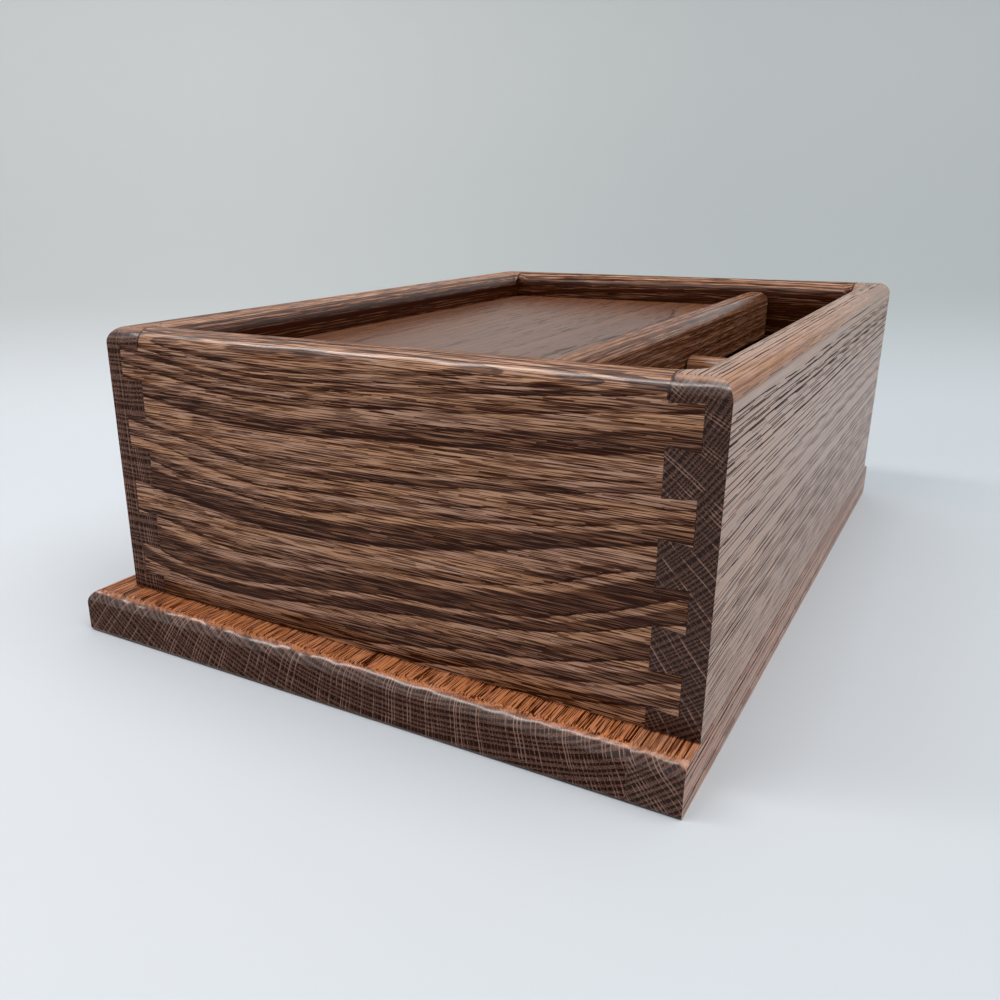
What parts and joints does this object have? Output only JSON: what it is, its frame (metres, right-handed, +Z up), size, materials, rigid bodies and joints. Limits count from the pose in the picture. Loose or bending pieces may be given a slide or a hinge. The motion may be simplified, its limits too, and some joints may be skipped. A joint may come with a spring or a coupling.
{
  "type": "valet box",
  "caption": "Dark oak valet box with half-blind dovetailed corners, a round-edged overhanging base, a shallow lift-out tray with a grip rail, and a divided trough behind the tray.",
  "frame": {"origin": "middle of the base's underside", "axes": "+X along the box towards its right end, -Y towards the front, +Y towards the flush back, +Z up"},
  "size_m": [0.384, 0.265, 0.1315],
  "materials": {
    "oak_board": "dark-stained oak under gloss varnish",
    "oak_end": "dark-stained oak under gloss varnish",
    "oak_base": "dark-stained oak under gloss varnish",
    "oak_tray": "dark-stained oak under gloss varnish",
    "oak_inside": "dark-stained oak, satin",
    "steel": "zinc-plated"
  },
  "bodies": {
    "box": {"base_board": "oak_base", "base_back_strip": "oak_base", "front_board": "oak_board", "back_board": "oak_board", "left_end_board": "oak_end", "right_end_board": "oak_end", "cross_partition": "oak_inside", "front_cleat_left": "oak_inside", "front_cleat_right": "oak_inside", "left_cleat": "oak_inside", "right_cleat": "oak_inside", "base_screws": "steel", "cleat_screws": "steel"},
    "tray": {"tray_panel": "oak_tray", "tray_rail": "oak_tray"}
  },
  "joints": [
    {"name": "tray_lift", "type": "slide", "parent": "box", "child": "tray", "axis": [0, 0, 1], "range_m": [0, 0.045]}
  ]
}
